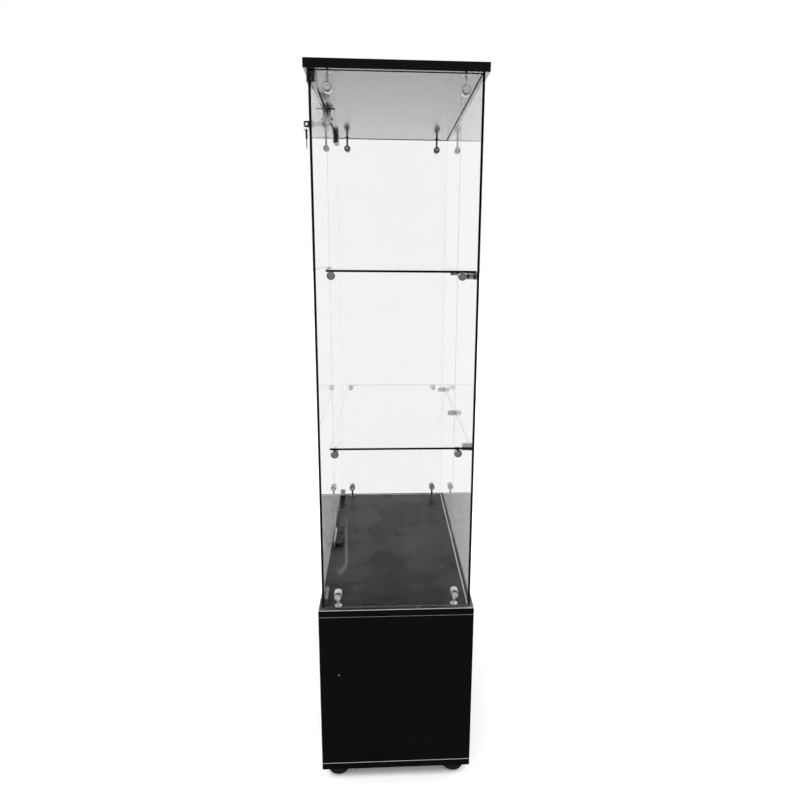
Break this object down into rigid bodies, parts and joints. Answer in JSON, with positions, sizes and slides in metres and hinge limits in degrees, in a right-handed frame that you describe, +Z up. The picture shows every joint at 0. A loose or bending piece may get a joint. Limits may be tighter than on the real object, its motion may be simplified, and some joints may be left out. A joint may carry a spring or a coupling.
{
  "type": "glass display case",
  "caption": "Tall frameless glass display case on a closed black plinth, with two lockable glass doors and glass shelves held by chrome fittings.",
  "frame": {"origin": "on the floor, under the middle of the bounding box; the box includes the key that stands out of the right door, so the case's own middle is 22.75 mm towards +X", "axes": "+Z up; -X is the side with the two glass doors and the lock, +X the side with the fixed back glass; Y runs along the long side, with the right end (as seen facing the doors) at -Y and the left end at +Y"},
  "size_m": [0.4454, 0.8, 1.8],
  "materials": {
    "black_laminate": "satin black melamine laminate on particle board, 1 mm rounded edges",
    "raw_panel_edge": "plain beech dowels",
    "clear_glass": "clear 5 mm toughened float glass with ground edges, faint green edge tint",
    "chrome": "bright polished chrome plate",
    "zinc_steel": "zinc-plated steel",
    "magnet": "dark grey sintered magnet",
    "black_plastic": "black moulded plastic, fine texture",
    "clear_plastic": "clear soft plastic washers, sleeves and joint seal",
    "grey_rubber": "dark rubber clamp liner",
    "white_nylon": "white nylon bearing bush",
    "key_steel": "nickel-plated key steel"
  },
  "bodies": {
    "case": {"bottom_board": "black_laminate", "right_end_panel": "black_laminate", "left_end_panel": "black_laminate", "front_side_panel": "black_laminate", "back_side_panel": "black_laminate", "middle_divider": "black_laminate", "panel_dowels": "raw_panel_edge", "cam_discs": "zinc_steel", "cam_bolts": "zinc_steel", "feet": "black_plastic", "foot_screws": "zinc_steel", "deck_board": "black_laminate", "roof_board": "black_laminate", "right_end_glass": "clear_glass", "left_end_glass": "clear_glass", "back_glass_right": "clear_glass", "back_glass_left": "clear_glass", "back_glass_seals": "clear_plastic", "lower_shelf": "clear_glass", "upper_shelf": "clear_glass", "right_end_brackets": "chrome", "left_end_brackets": "chrome", "bracket_bolts": "zinc_steel", "glass_caps": "chrome", "glass_washers": "clear_plastic", "lower_shelf_studs": "chrome", "upper_shelf_studs": "chrome", "stud_sleeves": "clear_plastic", "pivot_bushes": "white_nylon", "bolt_keeper": "white_nylon", "lock_strike": "zinc_steel", "strike_screws": "zinc_steel", "catch_housing": "black_plastic", "catch_magnets": "magnet", "catch_pole_plates": "zinc_steel", "catch_screws": "zinc_steel"},
    "right_door": {"right_door_glass": "clear_glass", "right_door_clamps": "chrome", "right_clamp_liners": "grey_rubber", "right_pivot_pins": "zinc_steel", "right_grub_screws": "zinc_steel", "right_door_strike_strip": "chrome", "lock_barrel": "chrome", "lock_nut": "chrome"},
    "left_door": {"left_door_glass": "clear_glass", "left_door_clamps": "chrome", "left_clamp_liners": "grey_rubber", "left_pivot_pins": "zinc_steel", "left_grub_screws": "zinc_steel", "left_door_strike_strip": "chrome", "bolt_saddle": "chrome"},
    "lock_cylinder": {"lock_plug": "chrome", "lock_cam": "zinc_steel", "lock_cam_screw": "zinc_steel"},
    "key": {"key_head": "black_plastic", "key_blade": "key_steel"},
    "key_ring": {"key_ring": "key_steel"},
    "spare_key": {"spare_key_head": "black_plastic", "spare_key_blade": "key_steel"},
    "door_bolt": {"door_bolt": "chrome"}
  },
  "joints": [
    {"name": "right_door_swing", "type": "hinge", "parent": "case", "child": "right_door", "pos_m": [-0.16475, -0.3665, 0.51], "axis": [0, 0, 1], "range_deg": [0, 120]},
    {"name": "left_door_swing", "type": "hinge", "parent": "case", "child": "left_door", "pos_m": [-0.16475, 0.3665, 0.51], "axis": [0, 0, -1], "range_deg": [0, 120]},
    {"name": "lock_turn", "type": "hinge", "parent": "right_door", "child": "lock_cylinder", "pos_m": [-0.19325, -0.022, 1.743], "axis": [-1, 0, 0], "range_deg": [0, 90]},
    {"name": "key_withdraw", "type": "slide", "parent": "lock_cylinder", "child": "key", "axis": [-1, 0, 0], "range_m": [0, 0.022]},
    {"name": "key_ring_swing", "type": "hinge", "parent": "key", "child": "key_ring", "pos_m": [-0.21575, -0.022, 1.743], "axis": [0, 1, 0], "range_deg": [-25, 25]},
    {"name": "spare_key_swing", "type": "hinge", "parent": "key_ring", "child": "spare_key", "pos_m": [-0.21575, -0.022, 1.7237], "axis": [1, 0, 0], "range_deg": [-35, 35]},
    {"name": "door_bolt_slide", "type": "slide", "parent": "left_door", "child": "door_bolt", "axis": [0, 0, 1], "range_m": [0, 0.008]}
  ]
}
